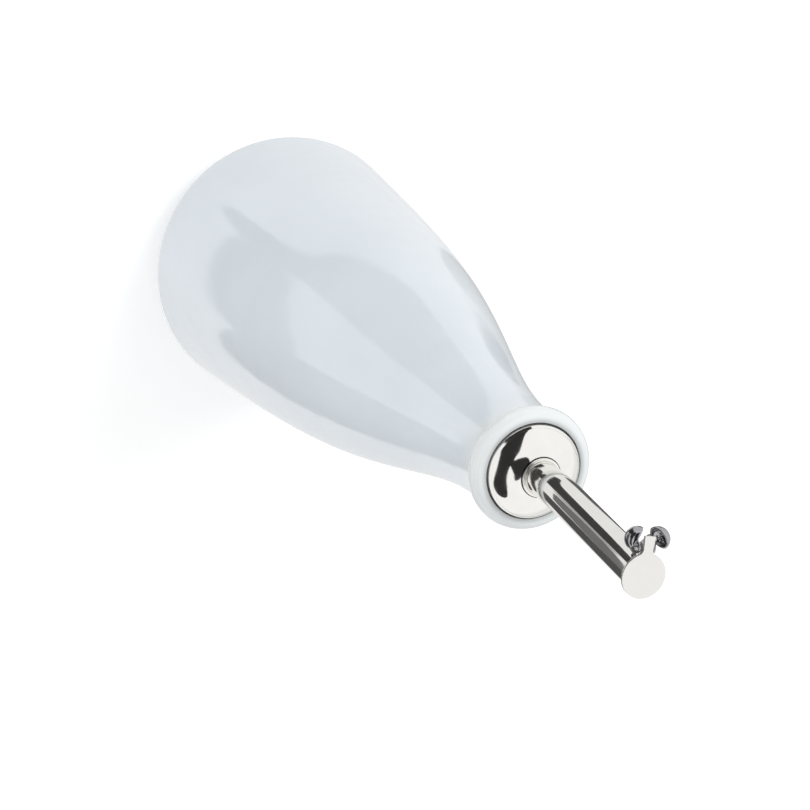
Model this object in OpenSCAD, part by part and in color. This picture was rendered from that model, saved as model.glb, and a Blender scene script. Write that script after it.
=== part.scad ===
// Oil and vinegar cruet: a glazed porcelain bottle with a lift-out steel pourer.
// Millimetres, +Z up, origin at the centre of the foot. The spout leans towards +X.

/* [Bottle] */
// Height of the bottle to the crown of its lip
bottle_h = 220.5; // [190:0.5:250]
// Largest radius of the body, low on the bottle
belly_r = 43.5; // [38:0.5:48]
// How much narrower the straight taper of the body makes it by the neck, as a share
body_taper = 0.5; // [0.3:0.05:0.6]
// Radius of the neck, just under the lip
neck_r = 16; // [15:0.1:17.2]
// How long the shoulder stays full before it draws in to the neck
shoulder_full = 2.05; // [1.7:0.05:2.4]
// Thickness of the porcelain wall
wall_t = 4; // [3:0.1:5]
// Thickness of the floor
floor_t = 6; // [5:0.5:9]
// Radius of the rounded heel
heel_r = 12; // [7:0.5:16]
// Width of the foot ring that the bottle stands on
foot_w = 4; // [3:0.5:6]
// Depth of the hollow inside the foot ring
foot_depth = 1.5; // [1:0.1:2.5]

/* [Lip and neck bore] */
// Outer radius of the rolled lip
lip_r = 18.2; // [17.8:0.1:20]
// Radius of the lip's round section
lip_roll_r = 3.4; // [3:0.1:4]
// Depth of the seat that the cap sits in, below the lip's crown
seat_depth = 2; // [1.5:0.1:2.5]
// Gap round the cap in its seat
seat_gap = 0.3; // [0.2:0.05:0.5]
// Radius of the bore in the neck
bore_r = 10.8; // [10:0.1:11.2]
// Length of the straight bore
bore_len = 40; // [34:1:50]
// Length of the taper between the bore and the hollow of the body
bore_taper = 22; // [12:1:30]

/* [Cap] */
// Radius of the steel cap
cap_r = 14; // [13:0.1:15]
// Height of the cap's straight skirt
skirt_h = 2.2; // [1.6:0.1:3]
// Height of the dome above the skirt, at its crown
dome_h = 5.9; // [4.5:0.1:7]
// Thickness of the cap's sheet
cap_t = 0.7; // [0.5:0.1:1]
// Outer radius of the ring round the foot of the spout
ring_r = 6.3; // [6:0.1:7.2]
// Height that the ring stands above the dome's crown
ring_h = 0.9; // [0.6:0.1:1.5]

/* [Spout tube] */
// Outer radius of the tube
tube_r = 5.05; // [4.6:0.05:5.4]
// Thickness of the tube's wall
tube_t = 0.6; // [0.4:0.05:0.9]
// Height of the bend's corner above the lip
bend_z = 10.4; // [9:0.1:14]
// Lean of the spout from upright, in degrees
lean = 10; // [4:1:18]
// Radius of the bend, on the tube's centre line
bend_r = 16; // [10:1:30]
// Length from the bend's corner to the centre of the mouth
spout_len = 53.4; // [40:0.1:64]

/* [Stopper] */
// Length of the rubber sleeve in the neck
sleeve_len = 27; // [20:1:32]
// Number of sealing ribs on the sleeve
rib_count = 6; // [3:1:8]
// Depth of a sealing rib
rib_depth = 1.1; // [0.6:0.1:1.6]
// Clearance of the ribs in the neck bore
rib_gap = 0.1; // [0.05:0.01:0.2]
// Outer radius of the hard core inside the sleeve
core_r = 8.1; // [7.6:0.1:8.4]
// Thickness of the core's flange, under the cap
flange_t = 1.9; // [1.4:0.1:2.1]
// Thickness of the washer below the sleeve
washer_t = 1.6; // [1:0.1:2.5]
// Outer radius of the air tube
air_r = 1.05; // [0.9:0.05:1.2]
// Bore radius of the air tube
air_bore_r = 0.7; // [0.5:0.05:0.8]
// Length of the air tube that hangs below the washer
air_drop = 12; // [6:1:20]

/* [Flap and hinge] */
// Radius of the flap's disc
flap_r = 6.45; // [6:0.05:7]
// Thickness of the flap's sheet
flap_t = 0.8; // [0.6:0.05:1]
// Gap between the closed flap and the mouth
flap_gap = 0.12; // [0.05:0.01:0.2]
// How far the flap is turned round the spout from the plane of the bend, in degrees
flap_turn = 38; // [0:1:45]
// Distance of the pin from the centre of the mouth
pin_u = 7.4; // [7.3:0.1:8.2]
// Distance of the pin below the rim of the mouth
pin_drop = 1.3; // [1.1:0.05:1.6]
// Radius of the hinge pin
pin_r = 0.8; // [0.6:0.05:0.9]
// Radius of the pin's round heads
pin_head_r = 1.1; // [1:0.05:1.3]
// Running clearance of the flap's barrel on the pin
pin_gap = 0.06; // [0.02:0.01:0.1]
// Outer radius of the flap's rolled barrel
barrel_r = 1.5; // [1.3:0.05:1.6]
// Width of the flap's neck at its waist
waist_w = 2.9; // [2.4:0.1:3.2]
// Width of the neck at its top edge
tail_w = 3.4; // [3:0.1:3.8]
// Radius of the fillets between the neck and the disc
neck_fillet = 1.8; // [1:0.1:2.2]
// Distance of the neck's top edge from the centre of the mouth
tail_u = 11.3; // [10.8:0.1:12.5]
// Thickness of the bracket's cheeks
cheek_t = 0.6; // [0.5:0.05:0.8]
// Gap between a cheek and the widest part of the neck
cheek_gap = 0.25; // [0.2:0.05:0.4]
// Radius of an ear's rim
ear_r = 3.4; // [3:0.1:3.6]
// Depth of an ear's bowl
ear_depth = 3; // [2.2:0.1:3.3]
// Thickness of an ear's sheet
ear_t = 0.6; // [0.45:0.05:0.8]
// Distance of an ear's rim centre from the centre of the mouth
ear_u = 10.2; // [9.9:0.1:11]
// Sideways distance of an ear's rim centre
ear_side = 3.4; // [3.3:0.1:4]
// How far an ear's back is turned out sideways from the hinge, in degrees
ear_splay = 62; // [50:1:75]
// How far an ear's back drops below level, in degrees
ear_fall = 18; // [5:1:30]
// Height of the saddle that holds the bracket to the tube
saddle_h = 5; // [4:0.5:8]
// Thickness of the saddle
saddle_t = 0.8; // [0.6:0.05:1.1]
// Half of the arc that the saddle wraps round the tube, in degrees
saddle_half = 48; // [35:1:60]

/* [Hidden] */
$fn = 96;

porcelain = [0.86, 0.89, 0.92];
steel = [0.78, 0.78, 0.77];
satin_steel = [0.84, 0.84, 0.82];
rubber_grey = [0.80, 0.80, 0.78];
plastic_white = [0.90, 0.90, 0.88];

// Bottle: where the lip's round section lies, and where the outside reaches the neck
lip_c = lip_r - lip_roll_r;
lip_z = bottle_h - lip_roll_r;
neck_z = lip_z - 10.5;
belly_z = heel_r;
outer_steps = 34;
inner_steps = 24;
inner_top_z = bottle_h - bore_len;
inner_heel_r = heel_r - wall_t / 2;
inner_foot_z = floor_t + inner_heel_r;
seat_z = bottle_h - seat_depth;
seat_r = cap_r + seat_gap;

// Outside radius of the body at a height, from the belly up to the neck
function body_r(z) =
    z <= belly_z ? belly_r :
    z >= neck_z ? neck_r :
    let (up = (z - belly_z) / (neck_z - belly_z))
    neck_r + (belly_r - neck_r) * (1 - body_taper * up) * (1 + cos(180 * pow(up, shoulder_full))) / 2;

// Inside radius at a height: a wall's thickness inside the body, drawn in to the bore at the top
function hollow_r(z) =
    let (draw = min(1, (inner_top_z - z) / bore_taper))
    bore_r + (body_r(z) - wall_t - bore_r) * (1 - cos(180 * draw)) / 2;

// Points along an arc, from one angle to another
function arc(centre, r, from, to, n) =
    [for (i = [0 : n]) let (a = from + (to - from) * i / n) centre + r * [cos(a), sin(a)]];

// Cap: the dome is part of a sphere that meets the skirt's top edge
skirt_z = seat_z + skirt_h;
dome_r = (pow(cap_r, 2) + pow(dome_h, 2)) / (2 * dome_h);
dome_c = skirt_z + dome_h - dome_r;
crown_z = skirt_z + dome_h;

// Spout: the corner of the bend, and the two places where the bend starts and ends
corner_z = bottle_h + bend_z;
bend_cut = bend_r * tan(lean / 2);
tube_bore_r = tube_r - tube_t;
bend_swell = 0.02;
bend_lap = 0.05;
mouth_x = spout_len * sin(lean);
mouth_z = corner_z + spout_len * cos(lean);

// Stopper: heights from the flange down
sleeve_top_z = seat_z - 0.6;
sleeve_end_z = sleeve_top_z - sleeve_len;
washer_end_z = sleeve_end_z - washer_t;
air_end_z = washer_end_z - air_drop;
air_x = -(tube_r + core_r) / 2;
sleeve_r = bore_r - rib_gap - rib_depth;
rib_pitch = (sleeve_len - 4) / rib_count;

// Hinge: sideways places along the pin
hinge_turn = 180 - flap_turn;
cheek_in = tail_w / 2 + cheek_gap;
cheek_out = cheek_in + cheek_t;
ear_sphere_r = (pow(ear_r, 2) + pow(ear_depth, 2)) / (2 * ear_depth);
saddle_top = -(pin_drop + barrel_r + 0.5);
cheek_r = barrel_r + 0.1;
fillet_side = waist_w / 2 + neck_fillet;
fillet_u = sqrt(pow(flap_r + neck_fillet, 2) - pow(fillet_side, 2));
// The fillets stop a few degrees short of touching the disc, and the neck laps into it
fillet_stop = 4;
neck_lap = 0.05;
barrel_len = waist_w - 0.4;

// Places children at the mouth: +X points out over the hinge, Z = 0 is the rim of the mouth
module at_mouth() {
    translate([mouth_x, 0, mouth_z]) rotate([0, 0, hinge_turn]) children();
}

// Places children on the spout's leaning centre line, Z = 0 at the corner of the bend
module along_spout() {
    translate([0, 0, corner_z]) rotate([0, lean, 0]) children();
}

// Bottle
module bottle_outline() {
    polygon(concat(
        [[0, 0]],
        arc([belly_r - heel_r, heel_r], heel_r, -90, 0, 8),
        [for (i = [1 : outer_steps]) let (z = belly_z + (neck_z - belly_z) * i / outer_steps) [body_r(z), z]],
        [[neck_r, lip_z], [lip_c, bottle_h], [0, bottle_h]]
    ));
}

module bottle_hollow() {
    polygon(concat(
        [[0, floor_t]],
        arc([hollow_r(inner_foot_z) - inner_heel_r, inner_foot_z], inner_heel_r, -90, 0, 6),
        [for (i = [1 : inner_steps])
            let (z = inner_foot_z + (inner_top_z - inner_foot_z) * i / inner_steps) [hollow_r(z), z]],
        [[bore_r, seat_z], [seat_r, seat_z], [2 * lip_c - seat_r, bottle_h + seat_depth], [0, bottle_h + seat_depth]]
    ));
}

module bottle() {
    foot_out = belly_r - heel_r + 1;
    color(porcelain)
    difference() {
        union() {
            rotate_extrude() bottle_outline();
            translate([0, 0, lip_z]) rotate_extrude() translate([lip_c, 0]) circle(lip_roll_r, $fn = 48);
        }
        rotate_extrude() bottle_hollow();
        translate([0, 0, -1]) cylinder(r = foot_out - foot_w, h = foot_depth + 1);
    }
}

// Stopper
module rib_ring(z) {
    translate([0, 0, z]) rotate_extrude()
        polygon([[sleeve_r - 0.5, -0.9], [sleeve_r, -0.9], [bore_r - rib_gap, 0.2],
                 [bore_r - rib_gap, 0.6], [sleeve_r, 0.9], [sleeve_r - 0.5, 0.9]]);
}

module stopper_sleeve() {
    color(rubber_grey)
    difference() {
        union() {
            translate([0, 0, sleeve_end_z]) cylinder(r = sleeve_r, h = sleeve_len);
            for (i = [0 : rib_count - 1]) rib_ring(sleeve_end_z + 2 + rib_pitch * (i + 0.5));
        }
        translate([0, 0, sleeve_end_z - 1]) cylinder(r = core_r, h = sleeve_len + 2);
    }
}

module stopper_core() {
    color(plastic_white)
    difference() {
        union() {
            translate([0, 0, sleeve_end_z]) cylinder(r = core_r, h = sleeve_len + 1);
            translate([0, 0, sleeve_top_z]) cylinder(r = bore_r - rib_gap, h = seat_z - sleeve_top_z);
            translate([0, 0, seat_z]) cylinder(r = cap_r - cap_t, h = flange_t);
        }
        translate([0, 0, sleeve_end_z - 1]) cylinder(r = tube_r, h = sleeve_len + flange_t + 4);
        translate([air_x, 0, sleeve_end_z - 1]) cylinder(r = air_r, h = sleeve_len + flange_t + 4, $fn = 32);
    }
}

module stopper_washer() {
    color(steel)
    difference() {
        translate([0, 0, washer_end_z]) cylinder(r = sleeve_r, h = washer_t);
        translate([0, 0, washer_end_z - 1]) cylinder(r = tube_r, h = washer_t + 2);
        translate([air_x, 0, washer_end_z - 1]) cylinder(r = air_r, h = washer_t + 2, $fn = 32);
    }
}

module air_tube() {
    length = seat_z + flange_t - air_end_z;
    color(steel)
    translate([air_x, 0, air_end_z])
    difference() {
        cylinder(r = air_r, h = length, $fn = 32);
        translate([0, 0, -1]) cylinder(r = air_bore_r, h = length + 2, $fn = 32);
    }
}

// Cap
module cap_solid(shrink) {
    intersection() {
        translate([0, 0, dome_c]) sphere(dome_r - shrink, $fn = 128);
        translate([0, 0, seat_z - shrink]) cylinder(r = cap_r - shrink, h = skirt_h + dome_h + 2);
    }
}

module cap_dome() {
    color(steel)
    difference() {
        cap_solid(0);
        cap_solid(cap_t);
        translate([0, 0, seat_z - 2]) cylinder(r = tube_r, h = skirt_h + dome_h + 4);
    }
}

module spout_ring() {
    foot_z = dome_c + sqrt(pow(dome_r, 2) - pow(ring_r, 2));
    color(steel)
    difference() {
        union() {
            translate([0, 0, foot_z]) cylinder(r = ring_r, h = crown_z + ring_h / 2 - foot_z);
            translate([0, 0, foot_z]) cylinder(r = ring_r - 0.45, h = crown_z + ring_h - foot_z);
        }
        translate([0, 0, dome_c]) sphere(dome_r, $fn = 128);
        translate([0, 0, foot_z - 1]) cylinder(r = tube_r, h = 6);
    }
}

// Spout tube: straight stub, bend and leaning spout, cut level at the mouth
module pipe_section(extra = 0) {
    difference() {
        circle(tube_r + extra);
        circle(tube_bore_r - extra);
    }
}

module spout_tube() {
    color(steel)
    difference() {
        union() {
            translate([0, 0, washer_end_z])
                linear_extrude(corner_z - bend_cut + bend_lap - washer_end_z) pipe_section();
            translate([bend_r, 0, corner_z - bend_cut]) rotate([90, 0, 180])
                rotate_extrude(angle = lean) translate([bend_r, 0]) pipe_section(bend_swell);
            along_spout() translate([0, 0, bend_cut - bend_lap]) linear_extrude(spout_len + tube_r) pipe_section();
        }
        translate([mouth_x, 0, mouth_z]) cylinder(r = 3 * tube_r, h = 3 * tube_r);
    }
}

// Hinge bracket: a saddle on the tube, two cheeks and two dished ears
module saddle() {
    top = saddle_top;
    intersection() {
        difference() {
            along_spout() translate([0, 0, spout_len - 24]) cylinder(r = tube_r + saddle_t, h = 24);
            along_spout() cylinder(r = tube_r, h = spout_len + 5);
        }
        at_mouth() translate([0, 0, top - saddle_h])
            rotate([0, 0, -saddle_half]) rotate_extrude(angle = 2 * saddle_half) square([3 * tube_r, saddle_h]);
    }
}

module cheek_shape() {
    foot_u = tube_r - 1;
    translate([pin_u, -pin_drop]) circle(cheek_r, $fn = 48);
    polygon([[foot_u, saddle_top + 0.6], [foot_u, saddle_top - saddle_h], [tube_r + 1.5, saddle_top - saddle_h],
             [ear_u - 0.2, -pin_drop - 3.4], [ear_u - 0.2, -pin_drop - 1.6], [pin_u + cheek_r, -pin_drop],
             [pin_u - cheek_r, -pin_drop]]);
}

module cheek(side) {
    translate([0, side > 0 ? cheek_out : -cheek_in, 0]) rotate([90, 0, 0]) linear_extrude(cheek_t) cheek_shape();
}

module ear(side) {
    translate([ear_u, side * ear_side, -pin_drop + 0.3])
    rotate([0, 90 + ear_fall, side * ear_splay])
    difference() {
        translate([0, 0, ear_depth - ear_sphere_r]) sphere(ear_sphere_r, $fn = 64);
        translate([0, 0, ear_depth - ear_sphere_r]) sphere(ear_sphere_r - ear_t, $fn = 64);
        translate([0, 0, -2 * ear_sphere_r]) cylinder(r = 2 * ear_sphere_r, h = 2 * ear_sphere_r);
    }
}

module hinge_bracket() {
    color(steel)
    difference() {
        union() {
            saddle();
            at_mouth() for (side = [-1, 1]) {
                cheek(side);
                ear(side);
            }
        }
        along_spout() cylinder(r = tube_r, h = spout_len + 5);
        at_mouth() translate([pin_u, 0, -pin_drop]) rotate([90, 0, 0])
            cylinder(r = pin_r, h = 2 * cheek_out + 2, center = true, $fn = 32);
    }
}

module hinge_pin() {
    head_side = cheek_out + pin_head_r / 2;
    color(steel)
    at_mouth() translate([pin_u, 0, -pin_drop]) {
        rotate([90, 0, 0]) cylinder(r = pin_r, h = 2 * cheek_out, center = true, $fn = 32);
        for (side = [-1, 1]) difference() {
            translate([0, side * head_side, 0]) sphere(pin_head_r, $fn = 32);
            translate([0, side * (cheek_out - 2), 0]) cube([4, 4, 4], center = true);
        }
    }
}

// Flap: a round disc with a waisted neck and a barrel rolled round the pin
module neck_outline() {
    turn = atan2(fillet_side, fillet_u);
    root = (flap_r - neck_lap) * [cos(turn), sin(turn)];
    polygon(concat(
        [[tail_u, -tail_w / 2], [tail_u, tail_w / 2]],
        arc([fillet_u, fillet_side], neck_fillet, 270, 180 + turn + fillet_stop, 8),
        [root, [root.x, -root.y]],
        arc([fillet_u, -fillet_side], neck_fillet, 180 - turn - fillet_stop, 90, 8)
    ));
}

module pour_flap() {
    color(satin_steel)
    at_mouth()
    difference() {
        union() {
            translate([0, 0, flap_gap]) linear_extrude(flap_t) circle(flap_r);
            translate([0, 0, flap_gap]) linear_extrude(flap_t) neck_outline();
            translate([pin_u, 0, -pin_drop]) rotate([90, 0, 0])
                cylinder(r = barrel_r, h = barrel_len, center = true, $fn = 48);
        }
        translate([pin_u, 0, -pin_drop]) rotate([90, 0, 0])
            cylinder(r = pin_r + pin_gap, h = barrel_len + 2, center = true, $fn = 48);
    }
}

bottle();
stopper_sleeve();
stopper_core();
stopper_washer();
air_tube();
cap_dome();
spout_ring();
spout_tube();
hinge_bracket();
hinge_pin();
pour_flap();
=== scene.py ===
"""Oil and vinegar cruet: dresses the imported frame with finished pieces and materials.

The named sizes below are millimetres where their comment doesn't say metres. Places from the
frame and settings are metres. The frame's Z axis is the bottle's axis and the spout leans
towards +X. Every finished piece stands in its place inside its own mesh.
"""
import math

import bmesh
import bpy
from mathutils import Matrix, Vector


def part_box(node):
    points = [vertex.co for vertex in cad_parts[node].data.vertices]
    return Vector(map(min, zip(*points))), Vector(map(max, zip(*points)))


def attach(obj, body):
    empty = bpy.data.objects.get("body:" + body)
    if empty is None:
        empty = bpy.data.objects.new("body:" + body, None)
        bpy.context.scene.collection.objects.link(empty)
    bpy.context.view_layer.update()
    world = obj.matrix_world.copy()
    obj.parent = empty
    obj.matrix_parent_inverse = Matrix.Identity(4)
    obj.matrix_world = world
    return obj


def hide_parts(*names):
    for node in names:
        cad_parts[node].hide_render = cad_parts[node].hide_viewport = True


bl_info = {
    "name": "Oil and vinegar cruet",
    "version": (1, 0, 0),
    "blender": (4, 5, 0),
    "location": "3D View > Sidebar > Cruet",
    "description": "Glazed porcelain bottle with a lift-out steel pourer",
    "category": "Mesh",
}

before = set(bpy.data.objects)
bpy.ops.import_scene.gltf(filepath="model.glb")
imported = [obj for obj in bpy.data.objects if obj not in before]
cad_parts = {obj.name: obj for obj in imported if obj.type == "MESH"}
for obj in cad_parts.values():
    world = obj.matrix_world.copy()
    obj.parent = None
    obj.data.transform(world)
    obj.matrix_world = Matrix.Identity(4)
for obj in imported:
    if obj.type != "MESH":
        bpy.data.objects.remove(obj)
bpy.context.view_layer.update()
MM = 0.001

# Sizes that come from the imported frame
BOTTLE_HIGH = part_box("bottle")[1]
CAP_LOW, CAP_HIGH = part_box("cap_dome")
RING_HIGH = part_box("spout_ring")[1]
SLEEVE_LOW, SLEEVE_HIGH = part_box("stopper_sleeve")
WASHER_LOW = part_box("stopper_washer")[0]

# Modelling: points closer than this, in metres, are one point, and only edges sharper than this
# angle are bevelled
MERGE, BEVEL_ANGLE = 0.002 * MM, math.radians(50)

# Bottle. The lip's roll goes from one angle to the other, in degrees up from level.
HEEL_R, NECK_Z, SHOULDER_FULL, BODY_TAPER = 12.0, 206.6, 2.05, 0.5
NECK_R, LIP_ROLL_R, LIP_FROM, LIP_TO, LIP_UNDER = 16.0, 3.4, -49.0, 93.0, 3.0
WALL, FLOOR = 4.0, 6.0
FOOT_HOLLOW_R, FOOT_DEPTH, FOOT_SLOPE = 28.5, 1.5, 0.3
BORE_R, BORE_LEN, BORE_TAPER = 10.8, 40.0, 22.0
SEAT_DEPTH, SEAT_GAP = 2.0, 0.3
OUTSIDE_ROWS, INSIDE_ROWS = 70, 46

# Glaze: the width of the painted contact shade on the lip next to the seat, the change round the neck's top
# to the lip's lighter, less blue copy of the glaze that is painted light, the bare foot
SEAT_SHADE_W, LIP_LIGHT_BELOW, LIP_LIGHT_ABOVE, BARE_FULL, BARE_END = 1.8, 2.0, 8.0, 0.2, 0.6

# Softening radii at an outline's corners, from its first corner to its last
FOOT_SOFT, UNDER_SOFT, MOUTH_SOFT = [0, 1.0, 0.5, 0], [0, 0.9, 0], [0, 0.22, 0.25, 0.6, 0]
CAP_SOFT, RING_SOFT = [0, 0.15, 1.2], [0, 0.15, 0.05, 0.1, 0.05, 0, 0, 0]

# Sleeve in the neck. A rib's corners go out from the sleeve and up from the rib's middle.
CORE_R, SLEEVE_R, SLEEVE_EDGE, SLEEVE_END, RIB_COUNT = 8.1, 9.6, 0.3, 2.0, 6
RIB_LINE = [(0, -1.1), (0.25, -0.75), (0.98, 0.05), (1.1, 0.25), (1.1, 0.5), (1.0, 0.65),
            (0.15, 0.85), (0, 1.1)]

# Cap, ring and spout. As in the photograph, the ring lies closer to the tube and lower than
# its solid, and the bend's corner is higher than the solid's. The mouth is in the same place.
# The last of these is the width of the painted shade line on the cap round the ring's foot.
CAP_T, SKIRT_H, DOME_H, JOINT_SHADE_W = 0.7, 2.2, 5.9, 0.28
RING_HUG, RING_DROP, RING_STEP, RING_LEDGE, RING_EDGE = 0.5, 0.9, 0.4, 0.3, 0.15
TUBE_R, TUBE_T, TUBE_EDGE = 5.05, 0.6, 0.12
CORNER_UP, BEND_R, LEAN, SPOUT_LEN = 20.5, 40.0, 12.312, 43.489

# Hinge and flap, in a frame with its origin in the middle of the mouth's rim. U is the distance
# out to the hinge's side, and UP and DROP are heights over and under the rim or the pin.
FLAP_R, FLAP_T, FLAP_GAP, FLAP_TURN, FLAP_EDGE = 6.45, 0.8, 0.12, 38.0, 0.16
PIN_U, PIN_DROP, PIN_R, PIN_GAP = 7.4, 1.3, 0.8, 0.06
HEAD_R, HEAD_PROUD, HEAD_RIM, HEAD_FROM = 1.1, 0.7, 0.02, 12.0
BARREL_R, BARREL_TRIM, WAIST_W, TAIL_W, TAIL_U, NECK_FILLET = 1.5, 0.4, 2.9, 3.4, 11.3, 1.8
CHEEK_T, CHEEK_GAP, CHEEK_RIM, CHEEK_SUNK, CHEEK_FOOT, CHEEK_UP = 0.6, 0.25, 0.1, 0.4, 1.5, 0.6
CHEEK_BACK, CHEEK_BACK_LOW, CHEEK_BACK_HIGH = 0.2, 3.4, 1.6
EAR_R, EAR_DEPTH, EAR_T, EAR_U, EAR_SIDE, EAR_UP = 3.4, 3.0, 0.6, 10.2, 3.4, 0.3
EAR_SPLAY, EAR_FALL = 62.0, 18.0
SADDLE_H, SADDLE_T, SADDLE_HALF, SADDLE_GAP, SADDLE_LAP = 5.0, 0.8, 48.0, 0.5, 0.05
VOXEL, SMOOTHING, SMOOTH_ROUNDS = 0.11, 0.5, 4

# The mouth's place, turned to the hinge, and the pin's place and direction at the mouth
MOUTH = (
    Matrix.Translation((SPOUT_LEN * math.sin(math.radians(LEAN)) * MM, 0,
                        BOTTLE_HIGH.z + (CORNER_UP + SPOUT_LEN * math.cos(math.radians(LEAN))) * MM))
    @ Matrix.Rotation(math.radians(180 - FLAP_TURN), 4, "Z")
)
ON_PIN = Matrix.Translation((PIN_U * MM, 0, -PIN_DROP * MM)) @ Matrix.Rotation(math.radians(90), 4, "X")

# Camera, fitted to the photograph's ellipses and outlines. Its distance and AIM_Z are metres.
CAMERA_TILT, CAMERA_ROLL, CAMERA_AZIMUTH = 30.8, 39.6, -162.0
CAMERA_FAR, CAMERA_FOCUS_PX, PICTURE_PX = 1.0, 3567.3, 810.0
AIM_Z, AIM_PIXEL = 0.2202, (533.3, 471.0)
SENSOR = 36.0

# Floor and lamps, in metres
FLOOR_SIZE, FLOOR_GLOW = 12.0, 0.3
KEY_PLACE, FILL_PLACE = (-0.25, 0.85, 1.05), (-0.45, -0.95, 0.5)
LAMP_SIZE, LAMP_AIM = 0.9, (0, 0, 0.15)

# Studio cards that only mirrors see: how bright each is, and its corners. Corners in the air
# are (azimuth, elevation) in degrees from the cap, and corners on the floor are (azimuth,
# millimetres from the bottle's axis). CARD_FAR and CARD_RISE are metres. Each round cuts every
# side at two shares of its length, which leaves a card's outline soft.
CARD_FAR, CARD_RISE, CARD_ROUNDS, CARD_CUTS = 1.5, 0.0005, 2, (0.25, 0.75)
SKY_CARDS = {
    "flag_behind": (0.03, [
        (128, 20), (148, 34), (160, 48), (176, 59), (-165, 61), (-135, 62), (-118, 57),
        (-90, 49), (-67, 40), (-52, 26), (-64, 20), (-85, 24), (-102, 33), (-118, 38),
        (-135, 39), (-152, 36), (-175, 26), (160, 16),
    ]),
    "flag_above": (0.03, [
        (150, 72), (-168, 68), (-150, 64), (-138, 58), (-122, 60), (-95, 64), (-70, 56),
        (-60, 76), (-60, 87), (105, 86),
    ]),
    "flag_low": (0.05, [
        (163, 8), (168, 0), (182, -6), (205, -8), (222, -6), (233, 2), (250, 3), (263, -2),
        (284, -3), (294, 4), (284, 12), (264, 19), (246, 21), (231, 24), (213, 27), (190, 26),
        (172, 21),
    ]),
}
FLOOR_CARDS = {
    "floor_bright": (0.85, [
        (0, 2500), (72, 2500), (144, 2500), (216, 2500), (288, 2500),
    ]),
    "floor_wedge": (0.05, [
        (193, 58), (188, 90), (184, 118), (163, 135), (145, 160), (134, 190), (134, 222),
        (150, 235), (164, 290), (167, 900), (177, 2200), (202, 2200), (202, 900), (202, 250),
        (200, 190), (198, 150), (200, 110), (203, 82),
    ]),
    "floor_line": (0.38, [
        (202, 252), (202, 900), (212, 900), (212, 262),
    ]),
    "floor_grey": (0.16, [
        (212, 262), (212, 900), (232, 900), (252, 900), (252, 240), (232, 258),
    ]),
    "floor_arc": (0.10, [
        (196, 78), (228, 72), (252, 74), (262, 100), (254, 146), (236, 142), (216, 134),
        (196, 122),
    ]),
    "floor_side": (0.08, [
        (258, 75), (282, 75), (293, 120), (300, 180), (312, 220), (312, 900), (282, 900),
        (252, 900), (252, 230), (252, 180), (251, 142),
    ]),
    "floor_edge": (0.12, [
        (8, 146), (45, 146), (84, 152), (99, 195), (97, 280), (60, 330), (8, 330),
    ]),
    "floor_rim": (0.50, [
        (8, 84), (40, 82), (80, 88), (90, 118), (84, 145), (45, 143), (8, 143),
    ]),
}


# Settings
class CruetSettings(bpy.types.PropertyGroup):
    """Sizes and colours of the cruet"""

    bottle_h: bpy.props.FloatProperty(
        name="Bottle height", description="Height of the bottle to the crown of its lip",
        default=BOTTLE_HIGH.z, unit="LENGTH")
    belly_r: bpy.props.FloatProperty(
        name="Belly radius", description="Largest radius of the body",
        default=BOTTLE_HIGH.x, unit="LENGTH")
    lip_r: bpy.props.FloatProperty(
        name="Lip radius", description="Outer radius of the rolled lip",
        default=18.2 * MM, unit="LENGTH")
    cap_r: bpy.props.FloatProperty(
        name="Cap radius", description="Radius of the steel cap",
        default=CAP_HIGH.x, unit="LENGTH")
    glaze: bpy.props.FloatVectorProperty(
        name="Glaze", description="Colour of the glazed porcelain",
        subtype="COLOR", size=3, default=(0.73, 0.785, 0.83))
    # Painted light: a lighter, less blue copy of the glaze that stands in for the brighter light falling on
    # the lip.
    lit_lip_glaze: bpy.props.FloatVectorProperty(
        name="Glaze on the lip", description="Colour of the thicker, clearer glaze on the rolled lip",
        subtype="COLOR", size=3, default=(0.79, 0.82, 0.825))
    biscuit: bpy.props.FloatVectorProperty(
        name="Bare foot", description="Colour of the unglazed clay under the foot",
        subtype="COLOR", size=3, default=(0.70, 0.66, 0.58))
    steel: bpy.props.FloatVectorProperty(
        name="Steel", description="Colour of the polished steel",
        subtype="COLOR", size=3, default=(0.90, 0.89, 0.86))
    # Painted reflection: the bracket's steel is darkened to stand in for the dark surroundings that its
    # ears mirror.
    bracket: bpy.props.FloatVectorProperty(
        name="Bracket", description="Colour of the hinge bracket's darker steel",
        subtype="COLOR", size=3, default=(0.44, 0.44, 0.46))
    flap: bpy.props.FloatVectorProperty(
        name="Flap", description="Colour of the satin flap",
        subtype="COLOR", size=3, default=(0.88, 0.87, 0.84))
    sleeve: bpy.props.FloatVectorProperty(
        name="Sleeve", description="Colour of the rubber sleeve",
        subtype="COLOR", size=3, default=(0.60, 0.60, 0.57))
    core: bpy.props.FloatVectorProperty(
        name="Core", description="Colour of the hard plastic core",
        subtype="COLOR", size=3, default=(0.80, 0.80, 0.77))


class StageSettings(bpy.types.PropertyGroup):
    """Floor and light"""

    floor: bpy.props.FloatVectorProperty(
        name="Floor", description="Colour of the floor",
        subtype="COLOR", size=3, default=(0.9, 0.9, 0.9))
    sky: bpy.props.FloatProperty(
        name="Sky light", description="Strength of the even light from all round", default=0.65)
    key: bpy.props.FloatProperty(
        name="Key light", description="Power of the large soft lamp", default=8.0, unit="POWER")
    fill: bpy.props.FloatProperty(
        name="Fill light", description="Power of the soft lamp on the other side",
        default=3.2, unit="POWER")


# Modelling helpers
def deselect():
    """Leaves object mode with nothing selected."""
    if bpy.context.object and bpy.context.object.mode != "OBJECT":
        bpy.ops.object.mode_set(mode="OBJECT")
    bpy.ops.object.select_all(action="DESELECT")


def pick(*objects):
    """Selects these objects and makes the last one active."""
    deselect()
    for obj in objects:
        obj.select_set(True)
    bpy.context.view_layer.objects.active = objects[-1]


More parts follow.
